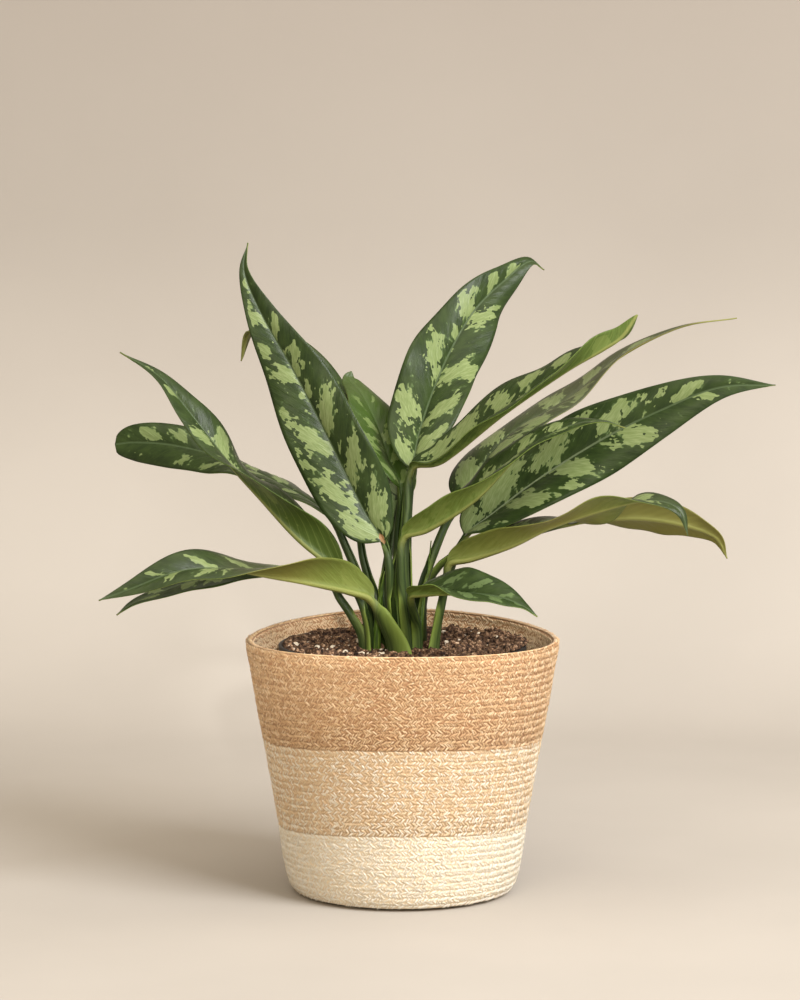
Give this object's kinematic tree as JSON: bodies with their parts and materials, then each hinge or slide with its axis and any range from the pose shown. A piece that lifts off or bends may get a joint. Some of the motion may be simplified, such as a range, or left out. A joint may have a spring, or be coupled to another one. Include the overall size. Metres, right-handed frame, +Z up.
{
  "type": "potted foliage plant in a braided basket",
  "caption": "Bushy foliage plant with long pointed pale-blotched leaves, in a black nursery pot of soil set inside a tapered braided basket banded in tan and cream.",
  "frame": {"origin": "centre of the basket's flat underside, which stands on the floor", "axes": "+Z up along the basket's axis, -Y toward the front that the picture shows, +X to its right"},
  "size_m": [0.4571, 0.2705, 0.4471],
  "materials": {
    "cream_cotton": "matt braided cotton",
    "mixed_braid": "matt braid of two yarns",
    "tan_jute": "matt braided jute",
    "black_plastic": "thin moulded",
    "soil": "moist crumbly peat with perlite",
    "stem": "smooth green sheath",
    "leaf": "satin, dark green with pale blotches"
  },
  "bodies": {
    "root": {"basket_cream_band": "cream_cotton", "basket_mixed_band": "mixed_braid", "basket_tan_band": "tan_jute", "nursery_pot": "black_plastic", "potting_soil": "soil", "stem_left": "stem", "stem_centre": "stem", "stem_right": "stem", "leaf_tall_left": "leaf", "leaf_tall_right": "leaf", "leaf_folded_right": "leaf", "leaf_long_tip": "leaf", "leaf_broad_right": "leaf", "leaf_folded_front": "leaf", "leaf_small_front": "leaf", "leaf_twisted_right": "leaf", "leaf_arching_right": "leaf", "leaf_low_left": "leaf", "leaf_low_left_under": "leaf", "leaf_upper_left": "leaf", "leaf_blunt_left": "leaf", "leaf_hooked_left": "leaf", "leaf_behind_centre": "leaf", "leaf_back": "leaf"}
  },
  "joints": []
}
